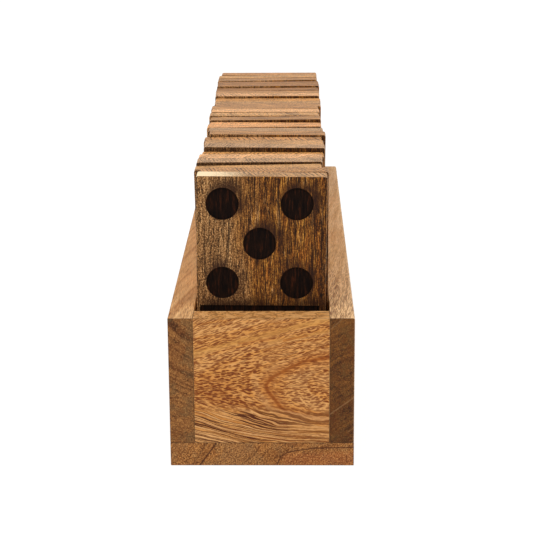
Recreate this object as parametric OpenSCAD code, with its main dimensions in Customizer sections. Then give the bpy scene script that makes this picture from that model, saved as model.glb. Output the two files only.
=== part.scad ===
// Open wooden storage box with a full set of standing wooden dominoes.
// Millimetres. The length runs along Y with the front at -Y, and Z points up.
// The origin is the middle of the underside.

/* [Set] */
// Highest number on a domino half, which sets how many dominoes there are
highest = 6; // [2:1:6]

/* [Domino] */
// Width across one domino
tile_w = 63; // [56:0.5:80]
// Length of one domino, which stands on end
tile_h = 130; // [127:0.5:160]
// Thickness of one domino
tile_t = 10.6; // [6:0.1:16]
// Radius of the sanded edges round a domino's two faces
tile_ease = 0.6; // [0.2:0.1:1.5]
// Radius of a domino's four corners, seen from its face
tile_corner = 1.2; // [0.4:0.1:4]

/* [Burnt marks] */
// Diameter of one burnt pip
pip_d = 15.6; // [8:0.1:16.5]
// Distance between neighbouring pips across the domino
pip_across = 18; // [17:0.1:20]
// Distance between neighbouring pips along the domino
pip_along = 19.7; // [17.5:0.1:21]
// Distance from the domino's centre line to the middle of one half's pips
half_centre = 33.4; // [32:0.1:34]
// Depth that the pips and the bar are burnt below the face
burn_depth = 0.5; // [0.2:0.1:2]
// Length of the bar between the halves
bar_w = 57.8; // [30:0.2:59]
// Height of the bar between the halves
bar_h = 4; // [2:0.2:8]
// How far the burnt pattern sits to the left of the domino's middle
stencil_left = 0.8; // [0:0.1:1.5]
// How far the burnt pattern sits below the domino's middle
stencil_down = 1.9; // [0:0.1:2.5]

/* [Box] */
// Thickness of the two long side boards
side_t = 12; // [6:0.5:20]
// Thickness of the front and back panels
panel_t = 12; // [6:0.5:20]
// Thickness of the bottom board
base_t = 12; // [6:0.5:20]
// Depth of the well above the bottom board
well_depth = 64; // [40:1:110]
// Radius of the sanded edges of each board
board_ease = 0.3; // [0.1:0.1:1]
// Radius of the right board's outer edges, which were sanded rounder
worn_ease = 1.2; // [0.2:0.1:4]

/* [Room in the well] */
// Room on each side of a domino in the well
side_room = 1.5; // [0.6:0.1:4]
// Least gap kept between a leaning domino and the wall
wall_gap = 0.3; // [0.1:0.1:0.5]
// Gap between neighbouring dominoes
tile_gap = 0.5; // [0.2:0.1:2]
// Slack in front of the row, where a finger starts the first domino
front_slack = 4.8; // [4.4:0.1:30]
// Slack behind the row
back_slack = 0.9; // [0.3:0.1:30]

/* [Hidden] */
// One line for each domino, front to back: where it sits in its side play,
// how far it leans across that play (both from -1 at the left to 1 at the
// right), how much longer than tile_h it was cut, and the share of the play
// that its greater width takes up.
HAND_SET = [
    [-0.8, 0.3, -0.6, 0], [1.0, 0.0, -0.5, 0], [-0.7, -0.4, -2.0, 0],
    [-1.0, -0.1, -0.5, 0], [-1.0, 0.0, -0.8, 0], [-1.0, 0.2, -2.3, 0],
    [-0.7, 0.3, -0.2, 0], [-0.3, 0.1, -0.4, 0], [-0.6, 0.0, -0.8, 0],
    [0.5, 0.3, 0.0, 0], [0.0, 0.1, -0.1, 0], [-0.1, -0.2, 0.0, 0],
    [-1.0, 0.2, -1.4, 0], [0.5, -0.2, -0.1, 0], [-1.0, 0.0, 0.4, 0],
    [-1.0, 0.1, 0.4, 0], [-1.0, 0.0, 0.4, 0], [0.1, 0.1, -0.2, 0],
    [0.0, 0.0, -0.8, 0.3], [0.0, 0.0, -1.0, 0.5], [-0.6, 0.0, 0.3, 0.4],
    [-1.0, 0.0, 0.0, 0.6], [-1.0, -0.4, -0.2, 0.6], [-1.0, -0.4, 0.8, 0.8],
    [-1.0, -0.8, 0.2, 0.8], [-1.0, -0.8, 0.5, 0.6], [-1.0, -0.8, 0.6, 0.6],
    [-0.4, 0.0, 0.9, 0]
];
// Straight steps in each quarter turn of a sanded edge
ease_steps = 3;
// Fineness of the round pips
$fn = 48;

// Every pair of numbers once, as in a real set
PAIRS = [for (a = [0 : highest]) for (b = [a : highest]) [a, b]];
tile_count = len(PAIRS);
// The set is stored from the double five on, or from the last double but one
first_pair = [for (i = [0 : tile_count - 1])
    if (PAIRS[i] == [highest - 1, highest - 1]) i][0];
ROW = [for (i = [0 : tile_count - 1]) PAIRS[(first_pair + i) % tile_count]];

well_w = tile_w + 2 * side_room;
well_l = front_slack + tile_count * tile_t + (tile_count - 1) * tile_gap + back_slack;
box_w = well_w + 2 * side_t;
box_l = well_l + 2 * panel_t;
well_front = -well_l / 2;
// Sideways travel that a domino really has in the well
play = 2 * (side_room - wall_gap);

BOARDS = ["bottom_board", "left_side", "right_side", "front_panel", "back_panel"];
function tile_name(i) = str("domino_", ROW[i][0], "_", ROW[i][1]);

// Corner points of a rectangle centred on 0, with rounded corners
function eased(w, h, r) = [
    for (q = [0 : 3])
        for (s = [0 : ease_steps])
            let (
                turn = 90 * (q + s / ease_steps),
                cx = (w / 2 - r) * (q == 0 || q == 3 ? 1 : -1),
                cy = (h / 2 - r) * (q < 2 ? 1 : -1)
            )
            [cx + r * cos(turn), cy + r * sin(turn)]
];

// A block centred on 0 whose edges along X, Y and Z are rounded to rx, ry and rz
module eased_block(w, l, h, rx, ry, rz) {
    intersection() {
        translate([0, 0, -h / 2]) linear_extrude(h) polygon(eased(w, l, rz));
        translate([0, l / 2, 0]) rotate([90, 0, 0]) linear_extrude(l) polygon(eased(w, h, ry));
        translate([-w / 2, 0, 0]) rotate([90, 0, 90]) linear_extrude(w) polygon(eased(l, h, rx));
    }
}

module board(w, l, h) {
    translate([0, 0, h / 2]) eased_block(w, l, h, board_ease, board_ease, board_ease);
}

module bottom_board() {
    color([0.60, 0.40, 0.22]) board(box_w, box_l, base_t);
}

// side is -1 for the left board and 1 for the right one
module side_board(side) {
    outer_ease = side > 0 ? worn_ease : board_ease;
    color([0.70, 0.50, 0.33])
        translate([side * (well_w + side_t) / 2, 0, base_t])
            intersection() {
                board(side_t, box_l, well_depth);
                // Twice as wide and high, so that only its outer and upper edges cut
                translate([-side * side_t / 2, 0, 0])
                    eased_block(2 * side_t, box_l, 2 * well_depth,
                        board_ease, outer_ease, outer_ease);
            }
}

// end is -1 for the front panel and 1 for the back one
module end_panel(end) {
    color([0.70, 0.46, 0.25])
        translate([0, end * (well_l + panel_t) / 2, base_t]) board(well_w, panel_t, well_depth);
}

// Columns and rows of the pips of one number, counted from the middle of a half
function pips(number) = concat(
    number % 2 == 1 ? [[0, 0]] : [],
    number > 1 ? [[-1, 1], [1, -1]] : [],
    number > 3 ? [[1, 1], [-1, -1]] : [],
    number > 5 ? [[-1, 0], [1, 0]] : []
);

// Burnt marks on a face at Y = 0 that looks to -Y, about the bar's centre
module burnt_marks(pair) {
    for (half = [0, 1])
        for (p = pips(pair[half]))
            translate([p[0] * pip_across, 0, (2 * half - 1) * half_centre + p[1] * pip_along])
                rotate([90, 0, 0]) cylinder(d = pip_d, h = 2 * burn_depth, center = true);
    cube([bar_w, 2 * burn_depth, bar_h], center = true);
}

// A domino w wide and h long on its bottom edge, centred on X, with its face at Y = 0
module loose_domino(pair, w, h) {
    difference() {
        translate([0, tile_t / 2, h / 2])
            eased_block(w, tile_t, h, tile_ease, tile_corner, tile_ease);
        translate([-stencil_left, 0, h / 2 - stencil_down]) burnt_marks(pair);
    }
}

// A domino in its place in the well, leaning on one foot
module domino(i) {
    hand = HAND_SET[i % len(HAND_SET)];
    own_w = tile_w + hand[3] * play;
    own_play = play * (1 - hand[3]);
    lean = atan(hand[1] * own_play / well_depth);
    foot_x = sign(lean) * (own_w / 2 - tile_corner);
    middle_x = hand[0] * own_play / 2 * (1 - abs(hand[1]));
    // The foot's place, set so that the domino's middle is at middle_x half way up the well
    foot_place = middle_x - hand[1] * own_play / 2 + foot_x * cos(lean);
    color([0.42, 0.29, 0.17])
        translate([foot_place, well_front + front_slack + i * (tile_t + tile_gap), base_t])
            rotate([0, lean, 0])
                translate([-foot_x, 0, 0])
                    loose_domino(ROW[i], own_w, tile_h + hand[2]);
}

bottom_board();
side_board(-1);  // left_side
side_board(1);  // right_side
end_panel(-1);  // front_panel
end_panel(1);  // back_panel
for (i = [0 : tile_count - 1])
    domino(i);
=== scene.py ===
"""The looks of a wooden box that holds a standing row of large dominoes.

This script gives them their timber, the dark stain and the burnt pips, and sets the floor, the
light and the camera. Lengths in the shaders are millimetres in the box's own frame: X to the
right, Y from the front panel to the back one, Z up, with 0 in the middle of the underside.
"""
import math
from collections.abc import Callable
from dataclasses import dataclass

import bpy
from mathutils import Matrix, Vector


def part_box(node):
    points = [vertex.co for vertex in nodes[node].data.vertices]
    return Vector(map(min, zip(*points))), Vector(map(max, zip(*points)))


MM = 0.001

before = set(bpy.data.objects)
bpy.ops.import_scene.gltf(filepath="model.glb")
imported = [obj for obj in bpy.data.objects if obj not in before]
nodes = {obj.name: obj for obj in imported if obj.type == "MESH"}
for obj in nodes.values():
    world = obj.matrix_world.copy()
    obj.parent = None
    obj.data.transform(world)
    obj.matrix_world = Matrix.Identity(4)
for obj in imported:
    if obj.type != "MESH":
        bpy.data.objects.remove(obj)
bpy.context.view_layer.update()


# ---- Shader tools ---------------------------------------------------------------------------


def tone(red, green, blue):
    """A display colour from 0 to 255 as the linear colour that a shader takes."""
    def linear(value):
        share = value / 255
        return share / 12.92 if share <= 0.04045 else ((share + 0.055) / 1.055) ** 2.4
    return (linear(red), linear(green), linear(blue), 1.0)


class Wire:
    """One output of a shader node. Arithmetic on it adds Math nodes."""

    def __init__(self, paint, node, out):
        self.paint = paint
        self.node = node
        self.socket = node.outputs[out]

    def other(self, out):
        """Another output of the same node."""
        return Wire(self.paint, self.node, out)

    def maths(self, operation, *values):
        """A Math node that works on the given values."""
        return self.paint.node("Math", {"operation": operation}, dict(enumerate(values)))

    def __add__(self, other):
        return self.maths("ADD", self, other)

    def __radd__(self, other):
        return self.maths("ADD", other, self)

    def __sub__(self, other):
        return self.maths("SUBTRACT", self, other)

    def __rsub__(self, other):
        return self.maths("SUBTRACT", other, self)

    def __mul__(self, other):
        return self.maths("MULTIPLY", self, other)

    def __rmul__(self, other):
        return self.maths("MULTIPLY", other, self)

    def __truediv__(self, other):
        return self.maths("DIVIDE", self, other)

    def __rtruediv__(self, other):
        return self.maths("DIVIDE", other, self)

    def __pow__(self, other):
        return self.maths("POWER", self, other)

    def __abs__(self):
        return self.maths("ABSOLUTE", self)

    def least(self, other):
        """The smaller of the two."""
        return self.maths("MINIMUM", self, other)

    def most(self, other):
        """The larger of the two."""
        return self.maths("MAXIMUM", self, other)

    def rest(self):
        """What is left above the last whole number."""
        return self.maths("FRACT", self)

    def rise(self, low, high):
        """A smooth step from 0 at low to 1 at high; it falls where high is the lower one."""
        return self.paint.node("MapRange", {"interpolation_type": "SMOOTHSTEP"},
                               {0: self, 1: low, 2: high, 3: 0.0, 4: 1.0})


class Paint:
    """The node tree of a material or world while it is laid out."""

    def __init__(self, name, owner=None):
        self.material = owner or bpy.data.materials.new(name)
        self.material.use_nodes = True
        self.tree = self.material.node_tree
        self.tree.nodes.clear()

    def node(self, kind, settings, sockets, out=0):
        """A node of one kind: its settings are made first, then its sockets set or linked."""
        made = self.tree.nodes.new("ShaderNode" + kind)
        for name, value in settings.items():
            if name == "stops":
                self.set_stops(made.color_ramp, value)
            else:
                setattr(made, name, value)
        for key, value in sockets.items():
            if isinstance(value, Wire):
                self.tree.links.new(value.socket, made.inputs[key])
            else:
                made.inputs[key].default_value = value
        return Wire(self, made, out) if len(made.outputs) else None

    def set_stops(self, ramp, stops):
        """Gives a ramp its stops, each a position and a colour."""
        while len(ramp.elements) < len(stops):
            ramp.elements.new(0.5)
        for element, (position, colour) in zip(ramp.elements, stops):
            element.position = position
            element.color = colour

    def split(self, vector):
        """The X, Y and Z of a vector."""
        x = self.node("SeparateXYZ", {}, {0: vector})
        return x, x.other(1), x.other(2)

    def vector(self, x, y, z):
        """A vector from its X, Y and Z."""
        return self.node("CombineXYZ", {}, {0: x, 1: y, 2: z})

    def vector_maths(self, operation, *values, out=0):
        """A Vector Math node that works on the given vectors."""
        return self.node("VectorMath", {"operation": operation}, dict(enumerate(values)), out)

    def place(self, middle=(0.0, 0.0, 0.0), lean=0.0):
        """X, Y and Z in millimetres from a middle given in metres, turned about Y by lean."""
        where = self.node("TexCoord", {}, {}, out="Object")
        own = self.node("Mapping", {"vector_type": "TEXTURE"},
                        {"Vector": where, "Location": middle, "Rotation": (0.0, lean, 0.0),
                         "Scale": (MM, MM, MM)})
        return self.split(own)

    def facing(self):
        """X, Y and Z of the direction that the surface faces."""
        return self.split(self.node("TexCoord", {}, {}, out="Normal"))

    def noise(self, x, y, z, detail=2.0, rough=0.5):
        """Cloudy values round 0.5 that change over about 1 unit of the given place."""
        return self.node("TexNoise", {"noise_dimensions": "3D"},
                         {"Vector": self.vector(x, y, z), "Scale": 1.0, "Detail": detail,
                          "Roughness": rough})

    def cells(self, x, y, z):
        """The distance to the nearest of scattered points, and a number kept by each."""
        near = self.node("TexVoronoi", {"voronoi_dimensions": "3D", "feature": "F1"},
                         {"Vector": self.vector(x, y, z), "Scale": 1.0, "Randomness": 1.0})
        return near, self.split(near.other("Color"))[0]

    def mix(self, share, first, second):
        """The second colour laid over the first; a share past 0 or 1 stops there."""
        return self.node("Mix", {"data_type": "RGBA"}, {0: share, 6: first, 7: second}, out=2)

    def ramp(self, share, positions, colours):
        """A colour that runs through the given ones, each at its position."""
        return self.node("ValToRGB", {"stops": tuple(zip(positions, colours))}, {0: share})

    def finish(self, colour, rough, height, depth, shine):
        """A plain surface: height from 0 to 1 stands for depth in millimetres."""
        bump = self.node("Bump", {}, {"Height": height, "Distance": depth * MM})
        surface = self.node("BsdfPrincipled", {}, {
            "Base Color": colour, "Roughness": rough, "Normal": bump,
            "Specular IOR Level": shine})
        self.node("OutputMaterial", {}, {"Surface": surface})
        return self.material

    def backdrop_ray(self):
        """1 where the camera, a reflection or clear material looks at the backdrop."""
        camera = self.node("LightPath", {}, {}, out="Is Camera Ray")
        return camera.most(camera.other("Is Glossy Ray")).most(
            camera.other("Is Transmission Ray"))


# ---- Palette --------------------------------------------------------------------------------

# Light, middle and dark tones of the boards' long sides
TAN = (tone(223, 163, 97), tone(219, 150, 75), tone(170, 103, 42))
ORANGE = (tone(240, 190, 130), tone(222, 168, 108), tone(188, 131, 75))
PINK = (tone(246, 204, 152), tone(223, 176, 119), tone(190, 142, 88))
# The same of the end grain
LEFT_END = (tone(166, 113, 60), tone(121, 76, 37), tone(68, 37, 14))
RIGHT_END = (tone(130, 82, 34), tone(85, 51, 20), tone(50, 26, 10))
BOTTOM_END = (tone(192, 131, 69), tone(146, 92, 45), tone(86, 47, 20))
# Clouds in the end grain
LEFT_CLOUDS = (tone(114, 88, 54), tone(134, 82, 38))
RIGHT_CLOUDS = (tone(100, 70, 34), tone(106, 60, 20))
BOTTOM_CLOUDS = (tone(150, 110, 68), tone(156, 98, 46))

# Fine detail of the boards
FIBRE_BROWN = tone(134, 74, 32)
FIBRE_CREAM = tone(232, 180, 124)
THREAD_BROWN = tone(80, 38, 15)
THREAD_CREAM = tone(226, 172, 112)
GRIT_BROWN = tone(48, 22, 0)
GRIT_CREAM = tone(222, 164, 98)
PORE_BROWN = tone(112, 54, 24)
DASH_RUST = tone(112, 46, 10)
DASH_FAWN = tone(124, 80, 46)
DASH_MOUSE = tone(116, 74, 42)
# Painted light: the paler tone of the boards' upward faces
TOP_LIGHT_TONE = tone(238, 178, 106)
SEAM_BROWN = tone(70, 44, 26)
CRACK_BROWN = tone(74, 38, 18)
CRACK_PALE = tone(150, 112, 72)
STAIN_OLIVE = tone(150, 110, 70)
STAIN_RED = tone(164, 94, 50)
VEIN_GOLD = tone(208, 150, 78)
VEIN_HONEY = tone(202, 142, 70)
VEIN_ORANGE = tone(178, 104, 38)
VEIN_AMBER = tone(190, 112, 42)
VEIN_RUST = tone(148, 76, 20)
VEIN_BROWN = tone(156, 86, 38)
VEIN_UMBER = tone(140, 74, 34)
VEIN_CREAM = tone(246, 202, 150)

# The dominoes: bare wood, stain, painted shade and char
BARE_FIBRE = tone(96, 60, 32)
BARE_SPECK = tone(96, 60, 30)
BARE_PORE = tone(86, 50, 26)
# A pale tone for the left end of a domino's bare wood
PALE_LEFT_TONE = tone(255, 228, 184)
STAIN_GOLD = (tone(27, 14, 7), tone(88, 50, 20), tone(142, 88, 34), tone(208, 146, 62))
STAIN_ORANGE = (tone(32, 15, 6), tone(92, 50, 18), tone(150, 86, 30), tone(210, 132, 56))
STAIN_GREY = (tone(66, 43, 24), tone(124, 85, 49), tone(174, 126, 77), tone(226, 178, 122))
STAIN_PORE = tone(24, 13, 8)
SCORCHED = tone(44, 22, 12)
# Painted shade on the stain near the upper edge of a face
EDGE_SHADE_TONE = tone(28, 14, 8)
PALE_EDGE = tone(150, 108, 68)
CHAR = (tone(6, 1, 0), tone(25, 10, 3), tone(62, 27, 9))


# ---- Timber ---------------------------------------------------------------------------------

# The slant of a face from which it counts as end grain, and where it fully does
END_SLANT = (0.55, 0.75)
# Farther than any point of the box lies from a line, in millimetres
FAR = 1000.0


def heart_radius(paint, along, a, b, heart, taper, wander, seed):
    """How far a point lies from the tree's heart, with the trunk's own unevenness.

    heart is where the heart crosses the board, across the grain; the rings draw in by taper
    for each millimetre along the board.
    """
    drift = paint.noise(along * 0.016 + seed, a * 0.05, b * 0.05) - 0.5
    ripple = paint.noise(along * 0.09 + seed, a * 0.3, b * 0.3) - 0.5
    radius = ((a - heart[0]) ** 2 + (b - heart[1]) ** 2) ** 0.5 + along * taper
    return radius + drift * (4 * wander) + ripple * wander


def growth(paint, radius, along, band, seed):
    """Growth bands: 0 in pale wood, near 1 in the dark edge of a year. band is a year's width."""
    year = radius / band
    uneven = paint.noise(year * 0.45, along * 0.004, seed, detail=3.0, rough=0.65)
    late = (year + uneven * 2.0).rest()
    line = late.rise(0.45, 0.93) * late.rise(1.0, 0.95)
    return uneven * 0.75 + line * 0.16


def dark_rings(radius, *rings):
    """Single dark rings, each with its radius, half its width and its strength."""
    dark = 0.0
    for at, half, share in rings:
        dark = abs(radius - at).rise(half, half * 0.2) * share + dark
    return dark


def vessels(paint, along, a, b, seed, long, wide, share, reach=0.31):
    """Open pores: short dashes along the grain, and dots where it is cut across.

    long and wide are a pore's own room in millimetres, share is how many of the rooms have
    one, and reach is a pore's half size as a share of its room.
    """
    near, chance = paint.cells(along / long + seed, a / wide, b / wide)
    return near.rise(reach + 0.09, reach - 0.09) * chance.rise(1.0 - share, 1.1 - share)


def line_gap(paint, a, b, points):
    """Distance from a point on a plane to a line through the given points."""
    spot = paint.vector(a, b, 0.0)
    nearest = FAR
    for (a0, b0), (a1, b1) in zip(points, points[1:]):
        step = (a1 - a0, b1 - b0, 0.0)
        length = step[0] ** 2 + step[1] ** 2
        away = paint.vector_maths("SUBTRACT", spot, (a0, b0, 0.0))
        share = paint.vector_maths("DOT_PRODUCT", away, step, out="Value") / length
        share = share.most(0.0).least(1.0)
        foot = paint.vector(share * step[0], share * step[1], 0.0)
        gap = paint.vector_maths("DISTANCE", away, foot, out="Value")
        nearest = gap.least(nearest)
    return nearest


def edge_gap(place, box):
    """Distance in millimetres from a point of a board's surface to its nearest edge."""
    low, high = box
    gaps = [(place[i] - low[i] / MM).least(high[i] / MM - place[i]) for i in range(3)]
    most = gaps[0].most(gaps[1]).most(gaps[2])
    least = gaps[0].least(gaps[1]).least(gaps[2])
    return gaps[0] + gaps[1] + gaps[2] - most - least


def grain_order(axis, values):
    """Sorts X, Y and Z into along the grain and the two ways across it."""
    x, y, z = values
    return {"X": (x, y, z), "Y": (y, x, z)}[axis]


def unmarked(radius, b):
    """No dark rings."""
    return 0.0


def even(along, b):
    """Pores of the same strength all over the board."""
    return 1.0


def straight(along, a, b):
    """Fibres that run straight along the board and spread nowhere."""
    return a, b, None


@dataclass
class Wood:
    """How one board was sawn from its tree and what shows on it, in millimetres.

    The functions here take a place on the board: along its grain, and a and b across it,
    where b is the height. A vein's calm is how far it hides the pores; below 0 it makes
    them bolder.
    """

    axis: str = "Y"  # the way its grain runs
    heart: tuple = (0.0, 0.0)  # where the tree's heart crosses the board, across the grain
    seed: float = 0.0  # gives the board its own figure
    band: float = 2.4  # the width of one year
    taper: float = 0.03  # how much the rings draw in for each millimetre along the board
    wander: float = 0.8  # how uneven the rings are
    start: float = 0.0  # where along the board its dark rings have their given radius
    faces: tuple = ORANGE  # light, middle and dark tones of its long sides
    ends: tuple = ORANGE  # light, middle and dark tones of its end grain

    marks: Callable = unmarked  # the dark rings for a radius and a height
    flow: Callable = straight  # where its fibres run, and where they spread, 0 to 1
    stretch: float = 1.0  # how much longer its pores are
    dashing: Callable = even  # how strong the pores are at a place
    dash_tone: tuple = DASH_RUST  # the colour of its finest pores
    veins: tuple = ()  # lines through points, with layers: half a width, share, tone, calm
    lines: Callable = None  # the share of straight dark and pale threads at a place
    top_light: float = 0.0  # the share of painted light on its upward faces, a paler tone

    clouds: tuple = ()  # tones that cloud its end grain
    stains: tuple = ()  # wide lines in the end grain: half a width, share, tone, points
    cracks: tuple = ()  # fine lines over its specks, given in the same way
    grit: float = 0.3  # how strong the specks are


class Grain:
    """The patterns that the long sides and the end grain of one board share."""

    def __init__(self, paint, wood):
        seed = wood.seed
        self.paint = paint
        self.seed = seed
        self.place = paint.place()
        self.along, self.a, self.b = grain_order(wood.axis, self.place)
        along, a, b = self.along, self.a, self.b
        radius = heart_radius(paint, along - wood.start, a, b, wood.heart, wood.taper,
                              wood.wander, seed)
        self.bands = growth(paint, radius, along, wood.band, seed)
        self.dark = wood.marks(radius, b)
        self.pore_along = along / wood.stretch
        self.across, fibres, self.spread = wood.flow(along, a, b)
        weave = (paint.noise(along * 0.06 + seed, a * 0.2, fibres * 0.2) - 0.5) * 3.0
        self.fibres = fibres + weave
        self.fibre = self.kept_fine(lambda way: paint.noise(
            along * 0.25 / wood.stretch, self.across * 2.4, way * 1.5, detail=3.0, rough=0.7))
        self.streak = paint.noise(along * 0.025 + seed, self.across * 0.5,
                                  self.fibres * 0.5, detail=3.0, rough=0.6)
        self.cloud = paint.noise(along * 0.03, a * 0.06 + seed, b * 0.06, detail=2.0)
        self.shade = self.bands * 0.5 + self.streak * 0.3 + self.cloud * 0.2 + self.dark * 0.12

    def kept_fine(self, pattern):
        """A pattern of the fibres, twice as fine where they spread."""
        coarse = pattern(self.fibres)
        if self.spread is None:
            return coarse
        return coarse + (pattern(self.fibres * 2.0) - coarse) * self.spread

    def pores(self, along, way, shift, *sizes):
        """One layer of vessels; shift keeps it apart from the other layers."""
        return vessels(self.paint, along, self.across, way, self.seed + shift, *sizes)

    def open_pores(self):
        """Round open pores of two lengths."""
        along = self.pore_along
        ahead = along + 9.0
        short = self.kept_fine(lambda way: self.pores(along, way, 0.0, 3.4, 0.75, 0.95))
        long = self.kept_fine(lambda way: self.pores(ahead, way, 5.0, 4.6, 0.66, 0.9))
        return short.most(long)

    def dashes(self):
        """Fine dark dashes close together, which run into each other."""
        along = self.pore_along
        return self.kept_fine(lambda way: self.pores(along, way, 2.0, 2.6, 0.52, 1.0, 0.4).most(
            self.pores(along, way, 7.0, 4.2, 0.56, 1.0, 0.4)))


def long_side(grain, wood):
    """The colour of a board's long sides, and how strong its pores are there."""
    paint, along, b = grain.paint, grain.along, grain.b
    colour = paint.ramp(grain.shade, (0.38, 0.5, 0.66), wood.faces)
    colour = paint.mix((grain.fibre - 0.46) * 1.6, colour, FIBRE_BROWN)
    colour = paint.mix((0.5 - grain.fibre) * 1.4, colour, FIBRE_CREAM)
    strength = wood.dashing(along, b)
    for points, layers in wood.veins:
        gap = line_gap(paint, along, b + (grain.streak - 0.5) * 2.5, points)
        for half, share, vein_tone, calm in layers:
            inside = gap.rise(half, half * 0.2)
            colour = paint.mix(inside * share, colour, vein_tone)
            strength = (1.0 - inside * calm) * strength
    if wood.lines:
        thread = paint.noise(along * 0.014 + grain.seed, grain.a * 0.3, grain.fibres,
                             detail=2.0, rough=0.6)
        share = wood.lines(along, b)
        colour = paint.mix(thread.rise(0.5, 0.43) * share * 0.85, colour, THREAD_CREAM)
        thin = abs(thread - 0.54).rise(0.05, 0.03)
        colour = paint.mix(thin * share, colour, THREAD_BROWN)
        strength = (1.0 - share * 0.8) * strength
    dashes = grain.dashes() * (grain.shade.rise(0.38, 0.5) * 0.15 + 0.65) * strength
    colour = paint.mix(dashes, colour, wood.dash_tone)
    # Painted light: upward faces get a paler tone, as if lit more
    if wood.top_light:
        top = paint.facing()[2].rise(0.5, 0.8)
        colour = paint.mix(top * wood.top_light, colour, TOP_LIGHT_TONE)
    return colour, strength


def end_grain(grain, wood):
    """The colour of a board's end grain: clouds and stains, then specks, then cracks."""
    paint, along, a, b, seed = grain.paint, grain.along, grain.a, grain.b, grain.seed
    speck = paint.noise(along * 1.78, a * 1.8 + seed, b * 1.8, detail=2.0, rough=0.7)
    crumb = paint.cells(along / 0.9, a / 0.9 + seed, b / 0.9)[1]
    mottle = paint.noise(along * 0.1, a * 0.24 + seed, b * 0.24, detail=4.0, rough=0.65)
    shade = grain.bands * 0.3 + mottle * 0.22 + speck * 0.42 + crumb * 0.06 + grain.dark * 0.1
    colour = paint.ramp(shade, (0.4, 0.5, 0.6), wood.ends)
    for layer, cloud_tone in enumerate(wood.clouds):
        cloud = paint.noise(along * 0.1 + 7.0 * layer, a * 0.13, b * 0.13 + seed,
                            detail=3.0, rough=0.6)
        colour = paint.mix(cloud.rise(0.48, 0.6) * 0.45, colour, cloud_tone)

    def with_lines(colour, lines):
        """The colour of the end grain with lines laid over it."""
        for half, share, line_tone, points in lines:
            gap = line_gap(paint, a + (speck - 0.5) * 0.6, b, points)
            colour = paint.mix(gap.rise(half, half * 0.3) * share, colour, line_tone)
        return colour

    colour = with_lines(colour, wood.stains)
    grit = paint.noise(along * 1.47, a * 1.5 + 0.3, b * 1.5 + seed, detail=0.0)
    colour = paint.mix(grit.rise(0.52, 0.2) * wood.grit, colour, GRIT_BROWN)
    colour = paint.mix(grit.rise(0.53, 0.8) * wood.grit * 0.85, colour, GRIT_CREAM)
    return with_lines(colour, wood.cracks)


def board_timber(name, wood):
    """The material of one board of the box."""
    paint = Paint(name + "_timber")
    grain = Grain(paint, wood)
    end = abs(grain_order(wood.axis, paint.facing())[0]).rise(*END_SLANT)
    side_colour, strength = long_side(grain, wood)
    colour = paint.mix(end, side_colour, end_grain(grain, wood))
    pore = grain.open_pores()
    deep = pore * (grain.shade.rise(0.38, 0.58) * 0.45 + 0.55) * (0.8 - end * 0.3)
    deep = deep * (strength * (1.0 - end) + end)
    colour = paint.mix(deep, colour, PORE_BROWN)
    seam = edge_gap(grain.place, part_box(name)).rise(0.45, 0.1)
    colour = paint.mix(seam * 0.5, colour, SEAM_BROWN)
    height = grain.fibre * 0.4 + (1.0 - pore) * 0.6
    return paint.finish(colour, 0.5 + grain.fibre * 0.2, height, depth=0.12, shine=0.15)


# ---- Dominoes -------------------------------------------------------------------------------

# From a domino's middle to its face, and the sizes of the marks burnt into that face
FACE_DEPTH = 5.3
PIP_RADIUS = 7.8
PIP_ACROSS = 18.0
PIP_ALONG = 19.7
HALF_CENTRE = 33.4
BAR_HALF = (28.9, 2.0)
# The middle of the burnt pattern, and how far the scorch round it lies to the right and up
STENCIL_OFF = (-0.8, -1.9)
SCORCH_OFF = (2.0, 2.2)


def own_frame(node):
    """Where a domino's middle is, in metres, and how far it leans to the right."""
    points = [vertex.co for vertex in node.data.vertices]
    corner = {}
    for side in (-1, 1):
        for end in (-1, 1):
            corner[side, end] = max(points, key=lambda p: side * p.x + end * p.z)
    middle = sum(corner.values(), Vector()) / 4
    middle.y = (min(p.y for p in points) + max(p.y for p in points)) / 2
    up = corner[-1, 1] + corner[1, 1] - corner[-1, -1] - corner[1, -1]
    return middle, math.atan2(up.x, up.z)


def pip_places(number):
    """The pips of one number, in columns and rows from the middle of its half."""
    places = [(0, 0)] if number % 2 else []
    if number > 1:
        places += [(-1, 1), (1, -1)]
    if number > 3:
        places += [(1, 1), (-1, -1)]
    if number > 5:
        places += [(-1, 0), (1, 0)]
    return places


def burn_gap(paint, numbers, u, w):
    """Distance in millimetres to the nearest burnt mark; negative inside one."""
    spot = paint.vector(u, 0.0, w)
    bar = (abs(u) - BAR_HALF[0]).most(abs(w) - BAR_HALF[1])
    nearest = bar
    for half, number in zip((-1, 1), numbers):
        for column, row in pip_places(number):
            centre = (column * PIP_ACROSS, 0.0, half * HALF_CENTRE + row * PIP_ALONG)
            away = paint.vector_maths("DISTANCE", spot, centre, out="Value")
            nearest = nearest.least(away - PIP_RADIUS)
    return nearest


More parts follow.
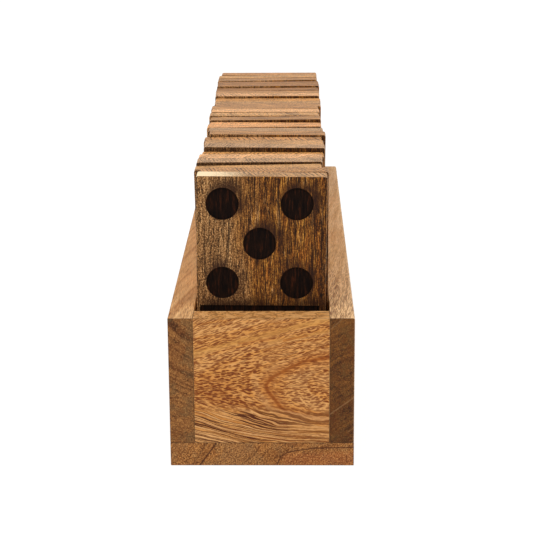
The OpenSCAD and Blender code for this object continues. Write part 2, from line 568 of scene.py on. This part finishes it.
def stained_face(paint, u, w, seed):
    """Dark stained wood, its grain upright: gold, orange, grey and near black streaks.

    Gives its colour and its relief. The left part is greyer and more wrinkled.
    """
    region = paint.noise(u * 0.07 + seed, w * 0.012, seed, detail=2.0)
    left = (u + (region - 0.5) * 50.0).rise(4.0, -16.0)
    swayed = u + paint.noise(u * 0.1, w * 0.03 + seed, seed) * 3.0
    wide = paint.noise(u * 0.4 + seed, w * 0.02, seed, detail=3.0, rough=0.6)
    fine = paint.noise(swayed * 2.3 + seed, w * 0.2, seed, detail=2.0, rough=0.7)
    wrinkle = paint.noise(u * 2.3, w * 1.5 + seed, seed, detail=2.0, rough=0.6)
    line = paint.noise(swayed, w * 0.016, seed + 4.0, detail=1.0)
    line = abs(line - 0.5).rise(0.05, 0.02) * paint.noise(u, w * 0.08, seed).rise(0.36, 0.52)
    near, chance = paint.cells(w / 5.0 + seed, swayed / 0.8, seed)
    pore = near.rise(0.4, 0.22) * chance.rise(0.1, 0.25)
    furrow = pore.most(line)
    shade = wide * (0.24 - left * 0.08) + fine * (0.46 - left * 0.28)
    shade = shade + wrinkle * (0.3 + left * 0.28) + left * 0.038 - u.rise(18.0, 30.0) * 0.02
    hue = paint.noise(swayed * 0.4, w * 0.05 + seed, seed + 9.0, detail=3.0, rough=0.7)
    gold, orange, grey = (paint.ramp(shade, (0.4, 0.47, 0.54, 0.61), colours)
                          for colours in (STAIN_GOLD, STAIN_ORANGE, STAIN_GREY))
    colour = paint.mix(hue.rise(0.52, 0.66) * (1.0 - left), gold, orange)
    colour = paint.mix((left * 0.85).most(hue.rise(0.44, 0.34) * 0.7), colour, grey)
    colour = paint.mix(furrow * 0.8, colour, STAIN_PORE)
    return colour, fine * 0.5 + (1.0 - furrow) * 0.5


def bare_wood(paint, place, end, seed, middle_tone, heart, band, hatch, pale_left):
    """Sanded bare wood: fibres on its sides, and brown specks where the grain is cut across.

    Gives its colour and its fibres.
    """
    u, v, w = place
    radius = heart_radius(paint, w, u, v, heart, 0.01, 1.0, seed)
    bands = growth(paint, radius, w, band, seed)
    fibre = paint.noise(u * 2.2, v * 2.2, w * 0.16 + seed, detail=3.0, rough=0.6)
    speck = paint.noise(u * 1.5, v * 0.7 + seed, w * 1.2, detail=3.0, rough=0.8)
    blotch = paint.noise(u * 0.1 + seed, v * 0.4, w * 0.04, detail=3.0, rough=0.6)
    pore = vessels(paint, w, u, v, seed, 5.0, 0.8, 0.9)
    year = (radius / band + bands).rest()
    line = year.rise(0.35, 0.9) * year.rise(1.0, 0.94)
    patch = paint.noise(u * 0.14, v * 0.1 + seed, w * 0.03, detail=2.0).rise(0.42, 0.6)
    shade = bands * 0.4 + blotch * 0.2 + speck * 0.4 + (line - 0.3) * patch * hatch
    tones = [tone(*(share * value for value in middle_tone)) for share in (1.18, 0.97, 0.54)]
    colour = paint.ramp(shade, (0.4, 0.48, 0.58), tones)
    colour = paint.mix((fibre - 0.5) * (1.0 - end) * 1.4, colour, BARE_FIBRE)
    colour = paint.mix((speck - 0.5) * end * 3.0, colour, BARE_SPECK)
    colour = paint.mix(pore * (0.6 - end * 0.3), colour, BARE_PORE)
    # A pale patch at the left end
    if pale_left:
        pale = (u + (speck - 0.5) * 30.0).rise(-4.0, -27.0) * pale_left
        colour = paint.mix(pale, colour, PALE_LEFT_TONE)
    return colour, fibre


def domino_timber(name, numbers, seed, middle_tone, heart, band, hatch, pale_left, edge_shade_or_pale):
    """A domino's material: sanded edges, a stained face and burnt pips.

    middle_tone is the bare wood's display colour, and hatch how dark its year lines are;
    the share of a pale patch at the left end comes next, and last how much painted shade
    lies on the stain near the upper edge, where the domino in front shades it; below 0 it
    pales the stain there instead.
    """
    paint = Paint(name + "_timber")
    place = paint.place(*own_frame(nodes[name]))
    u, v, w = place
    side, face, top = paint.facing()
    end = abs(top).rise(*END_SLANT)
    front = (face + side * 0.35).rise(-0.3, -0.55)
    natural, fibre = bare_wood(paint, place, end, seed, middle_tone, heart, band, hatch, pale_left)
    stain, relief = stained_face(paint, u, w, seed)
    burn_u, burn_w = u - STENCIL_OFF[0], w - STENCIL_OFF[1]
    scorch = burn_gap(paint, numbers, burn_u - SCORCH_OFF[0], burn_w - SCORCH_OFF[1])
    patchy = paint.noise(u * 0.12, w * 0.1 + seed, seed)
    halo = scorch.rise(5.0, -1.5) * patchy.rise(0.3, 0.55)
    stain = paint.mix(halo * 0.85, stain, SCORCHED)
    # Painted shade on the stain near the upper edge, where the domino in front shades it; below 0
    # a paler stain there instead
    if edge_shade_or_pale:
        near_edge = w.rise(56.0, 63.0) * abs(edge_shade_or_pale)
        stain = paint.mix(near_edge, stain, EDGE_SHADE_TONE if edge_shade_or_pale > 0 else PALE_EDGE)
    colour = paint.mix(front, natural, stain)
    gap = burn_gap(paint, numbers, burn_u, burn_w)
    on_front = v.rise(FACE_DEPTH * -0.8, FACE_DEPTH * -0.85)
    burnt = gap.rise(0.3, 0.1) * on_front
    ember = paint.noise(u * 0.9 + seed, w * 0.12, seed, detail=4.0, rough=0.7)
    colour = paint.mix(burnt, colour, paint.ramp(ember, (0.38, 0.55, 0.7), CHAR))
    height = fibre * 0.4 + relief * front * 0.6
    return paint.finish(colour, 0.5 + burnt * 0.35, height, depth=0.15, shine=0.1)


# ---- The boards -----------------------------------------------------------------------------

# The heights between which the upper faces of the boards begin
RIM = (75.2, 75.8)
# The height of the tree's heart on the front panel, and the place of the boards' front ends
PANEL_HEART = 41.5
FRONT_END = -170.0


def panel_flow(along, a, b):
    """The front panel's fibres fan out to the right, and dip in its lower left part."""
    up = b - PANEL_HEART
    dip = along.rise(-40.0, 14.0) * up.rise(2.0, -26.0) * 8.0
    fan = 0.0155 - up.rise(-16.0, -29.0) * 0.012
    spread = along.rise(-4.0, 12.0) * up.rise(-26.0, -18.0)
    return a, (up + dip) / (1.0 + (along + 33.0) * fan), spread


def panel_marks(radius, b):
    """Dark rings of the front panel, heavier below the tree's heart."""
    low = b.rise(PANEL_HEART + 8.0, PANEL_HEART - 8.0)
    rings = dark_rings(radius, (52.0, 0.5, 0.6), (54.6, 0.8, 0.9), (56.4, 0.5, 0.8))
    return rings * (low * 0.9 + 0.1)


def panel_lines(along, b):
    """Straight dark and pale lines in the lower part of the front panel and on its top."""
    low = b.rise(33.0, 26.0) * (1.0 - along.rise(-4.0, 22.0) * 0.35)
    return low + b.rise(*RIM) * 0.8


def panel_dashes(along, b):
    """The front panel's pores, a little weaker in its upper left part."""
    return 1.15 - b.rise(58.0, 66.0) * along.rise(22.0, -4.0) * 0.1


def left_marks(radius, b):
    """Dark rings of the left board."""
    return dark_rings(radius, (29.6, 2.8, 1.2), (38.6, 0.7, 1.0), (46.6, 1.5, 0.9),
                      (54.0, 0.6, 0.9), (56.8, 0.5, 0.8))


def left_dashes(along, b):
    """The left board's pores: weak on its rim, a little bolder at the very front of it."""
    return 0.8 - b.rise(*RIM) * (0.6 - along.rise(-120.0, -160.0) * 0.4)


def right_marks(radius, b):
    """The right board is darker towards the floor."""
    return b.rise(60.0, 10.0) * 0.5


def right_dashes(along, b):
    """The right board's pores: bold at the front of its rim and weak farther back."""
    return 0.8 - b.rise(*RIM) * (0.52 - along.rise(-30.0, -130.0) * 0.4)


def right_flow(along, a, b):
    """The right board's fibres run out of its inner face towards the back."""
    return a - along * 0.12, b, None


# The bent ring that points to the left on the front panel
ARROW = ((32.9, 56.6), (19.8, 54.2), (10.8, 49.4), (4.3, 45.3), (2.2, 42.0), (2.9, 39.0),
         (8.1, 32.0), (12.0, 28.6), (26.0, 25.3), (33.0, 23.9))
PANEL_VEINS = (
    (((-33.4, 57.9), (-12.6, 63.8), (15.0, 71.2), (33.0, 75.8)),
     ((2.4, 0.6, VEIN_GOLD, 0.6),)),
    (((4.0, 63.8), (33.0, 69.9)), ((1.5, 0.5, VEIN_HONEY, 0.5),)),
    (((-10.6, 63.3), (3.9, 65.6)), ((0.9, 0.6, VEIN_ORANGE, 0.3),)),
    (((10.8, 64.9), (21.9, 67.5)), ((0.9, 0.6, VEIN_ORANGE, 0.3),)),
    (((-3.7, 46.8), (-2.3, 37.9), (3.9, 30.5), (10.8, 27.5), (20.0, 24.4)),
     ((2.6, 0.35, THREAD_CREAM, 0.2),)),
    (((-24.0, 36.0), (-8.0, 31.0)), ((6.0, 0.2, VEIN_BROWN, 0.0),)),
    (((-27.0, 45.0), (-15.0, 41.0)), ((4.0, 0.2, VEIN_BROWN, 0.0),)),
    (((-8.0, 26.0), (12.0, 21.0)), ((3.4, 0.35, VEIN_UMBER, -0.3),)),
    (ARROW, ((5.0, 0.5, VEIN_AMBER, 0.1), (1.3, 0.8, VEIN_RUST, 0.2))),
)
# The paler front of the right board's rim, with bolder pores
RIGHT_VEINS = (
    (((-176.0, 78.0), (-130.0, 78.0)), ((45.0, 0.48, VEIN_CREAM, -0.24),)),
)
RIGHT_CRACKS = (
    (0.5, 0.5, CRACK_PALE, ((33.0, 26.8), (45.0, 35.9))),
    (0.4, 0.4, CRACK_PALE, ((33.7, 70.8), (39.2, 76.0))),
    (0.4, 0.4, CRACK_PALE, ((41.9, 17.7), (45.0, 20.0))),
)
BOTTOM_STAINS = (
    (7.0, 0.4, STAIN_OLIVE, ((-16.0, 2.0), (-9.0, 10.0))),
    (5.0, 0.55, STAIN_RED, ((13.0, 3.0), (45.0, 4.0))),
)
BOTTOM_CRACKS = (
    (0.5, 0.95, CRACK_BROWN, ((-30.8, 0.0), (-22.4, 12.0))),
    (0.7, 0.5, CRACK_BROWN, ((-34.5, 0.0), (-27.0, 12.0))),
    (0.6, 0.45, CRACK_BROWN, ((-8.0, 2.0), (-4.0, 5.5), (-1.5, 9.5))),
    (0.48, 0.85, CRACK_BROWN, ((7.2, 0.5), (9.2, 4.8), (12.5, 7.0), (16.9, 7.9), (25.6, 9.2),
                               (45.0, 9.5))),
)

BOARDS = {
    "front_panel": Wood(
        axis="X", heart=(-220.0, PANEL_HEART), seed=21.9, band=1.9, taper=-0.1, wander=0.4,
        faces=TAN, marks=panel_marks, flow=panel_flow, dashing=panel_dashes,
        veins=PANEL_VEINS, lines=panel_lines, top_light=0.22),
    "back_panel": Wood(
        axis="X", heart=(214.0, 52.0), seed=33.3, band=2.2, taper=0.06, wander=0.5,
        faces=TAN),
    "left_side": Wood(
        heart=(-20.0, 92.0), seed=7.7, taper=0.17, start=FRONT_END, ends=LEFT_END,
        marks=left_marks, stretch=2.5, dashing=left_dashes, dash_tone=DASH_FAWN,
        clouds=LEFT_CLOUDS),
    "right_side": Wood(
        heart=(93.0, -44.0), seed=12.4, start=FRONT_END, faces=PINK, ends=RIGHT_END,
        marks=right_marks, flow=right_flow, stretch=3.0, dashing=right_dashes,
        dash_tone=DASH_MOUSE, veins=RIGHT_VEINS, clouds=RIGHT_CLOUDS, cracks=RIGHT_CRACKS,
        grit=0.12),
    "bottom_board": Wood(
        heart=(60.0, -50.0), seed=3.1, ends=BOTTOM_END, stretch=2.5, clouds=BOTTOM_CLOUDS,
        stains=BOTTOM_STAINS, cracks=BOTTOM_CRACKS, grit=0.66),
}


# ---- The row of dominoes --------------------------------------------------------------------

# The bare wood of the dominoes: display colour, and the dominoes that have it
BARE_WOODS = (
    ((226, 170, 116), "0_1 1_6 2_6"),
    ((232, 166, 106), "1_2 1_3"),
    ((203, 152, 98), "6_6 0_4 1_5 2_4 4_5"),
    ((208, 147, 84), "0_2 2_5"),
    ((191, 136, 83), "0_5 4_6"),
    ((184, 139, 92), "5_5"),
    ((182, 132, 83), "5_6 0_6 1_4 2_2 2_3 3_3 4_4"),
    ((184, 143, 102), "0_0 0_3 1_1"),
    ((164, 114, 67), "3_4 3_5 3_6"),
)
# Dominoes whose rings cross the end grain: the way to the tree's heart in degrees from X,
# the width of a year in millimetres, and how dark its lines are
SLANTED = {"5_5": (16, 2.3, 0.3), "5_6": (20, 1.9, 0.24), "0_0": (14, 1.9, 0.2),
           "0_1": (-40, 2.2, 0.18), "0_2": (-18, 2.2, 0.3), "0_3": (-24, 1.8, 0.2),
           "0_5": (15, 2.6, 0.3), "1_5": (22, 2.6, 0.2), "1_3": (-30, 2.2, 0.2),
           "2_3": (50, 2.0, 0.16), "2_6": (30, 2.4, 0.18)}
# Dominoes with a pale patch at the left end of their bare wood
PALE_LEFT = {"5_5": 1.0}
# Dominoes with painted shade on the stain near the upper edge, where the domino in front shades
# it; below 0 a paler stain there instead
EDGE_SHADE_OR_PALE = {"0_0": 0.7, "0_3": 0.6, "1_4": 0.4, "4_5": -0.4, "4_6": -0.8}


def dress(name, material):
    """Gives a node its material."""
    nodes[name].data.materials.clear()
    nodes[name].data.materials.append(material)


def dress_domino(pair, bare_tone):
    """Gives one domino its timber. Where SLANTED doesn't name it, its rings lie level."""
    name = "domino_" + pair
    numbers = [int(digit) for digit in pair.split("_")]
    seed = 3.7 * numbers[0] + 11.3 * numbers[1] + 1.3
    level = (90 + 14 * math.sin(seed), 1.6, 0.1)
    degrees, band, hatch = SLANTED.get(pair, level)
    way = math.radians(degrees)
    distance = 60.0 + 30.0 * math.sin(seed * 2.1)
    heart = (distance * math.cos(way), distance * math.sin(way))
    dress(name, domino_timber(name, numbers, seed, bare_tone, heart, band, hatch,
                              PALE_LEFT.get(pair, 0.0), EDGE_SHADE_OR_PALE.get(pair, 0.0)))


for name, wood in BOARDS.items():
    dress(name, board_timber(name, wood))
for bare_tone, pairs in BARE_WOODS:
    for pair in pairs.split():
        dress_domino(pair, bare_tone)


# ---- Floor, light and camera ----------------------------------------------------------------


def grey(value):
    """A grey as the linear colour that a shader takes; 1 is white."""
    return (value, value, value, 1.0)


def plain_floor():
    """A white floor that keeps a faint shadow."""
    half = 6.0
    floor_tone, shadow_tone, glow_tone = grey(0.8), grey(0.2), grey(0.88)
    mesh = bpy.data.meshes.new("floor")
    mesh.from_pydata([(-half, -half, 0), (half, -half, 0), (half, half, 0), (-half, half, 0)],
                     [], [(0, 1, 2, 3)])
    floor = bpy.data.objects.new("floor", mesh)
    bpy.context.scene.collection.objects.link(floor)
    paint = Paint("white_floor")
    seen = paint.backdrop_ray()
    lit = paint.node("BsdfDiffuse", {}, {"Color": floor_tone})
    faint = paint.node("BsdfDiffuse", {}, {"Color": shadow_tone})
    plain = paint.node("Emission", {}, {"Color": glow_tone, "Strength": 1.0})
    white = paint.node("AddShader", {}, {0: faint, 1: plain})
    both = paint.node("MixShader", {}, {0: seen, 1: lit, 2: white})
    paint.node("OutputMaterial", {}, {"Surface": both})
    mesh.materials.append(paint.material)


def soft_world(strength):
    """Even light from all round; the camera sees plain white."""
    world = bpy.data.worlds.new("studio")
    bpy.context.scene.world = world
    paint = Paint("studio", world)
    seen = paint.backdrop_ray()
    room = paint.node("Background", {}, {"Color": grey(1.0), "Strength": strength})
    plain = paint.node("Background", {}, {"Color": grey(1.0), "Strength": 1.0})
    both = paint.node("MixShader", {}, {0: seen, 1: room, 2: plain})
    paint.node("OutputWorld", {}, {"Surface": both})


def soft_lamp(name, place, target, size, power):
    """A square lamp that looks from place to target."""
    lamp = bpy.data.lights.new(name, "AREA")
    lamp.shape = "SQUARE"
    lamp.size = size
    lamp.energy = power
    stand = bpy.data.objects.new(name, lamp)
    stand.location = place
    stand.rotation_mode = "QUATERNION"
    stand.rotation_quaternion = (Vector(target) - Vector(place)).to_track_quat("-Z", "Y")
    bpy.context.scene.collection.objects.link(stand)


def set_camera():
    """The camera stands in front of the box, a little right of its middle, looking down."""
    sensor = 36.0
    picture = 533
    focal_pixels = 1558.1
    right, before, height = 15.4, 709.8, 305.6
    yaw, pitch, roll = (math.radians(angle) for angle in (-1.023, 16.011, -0.368))
    data = bpy.data.cameras.new("camera")
    data.sensor_width = sensor
    data.lens = focal_pixels * sensor / picture
    data.clip_start, data.clip_end = 0.01, 50.0
    camera = bpy.data.objects.new("camera", data)
    turn = (Matrix.Rotation(-yaw, 4, "Z") @ Matrix.Rotation(math.pi / 2 - pitch, 4, "X")
            @ Matrix.Rotation(roll, 4, "Z"))
    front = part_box("bottom_board")[0].y
    place = Vector((right * MM, front - before * MM, height * MM))
    camera.matrix_world = Matrix.Translation(place) @ turn
    bpy.context.scene.collection.objects.link(camera)
    bpy.context.scene.camera = camera


plain_floor()
soft_world(strength=0.66)
box_middle = (0.0, 0.0, 0.06)
soft_lamp("key", (-1.5, -1.1, 1.7), box_middle, size=1.6, power=22.0)
soft_lamp("fill", (1.5, -1.1, 1.7), box_middle, size=1.6, power=17.0)
set_camera()
bpy.context.scene.view_settings.view_transform = "Standard"
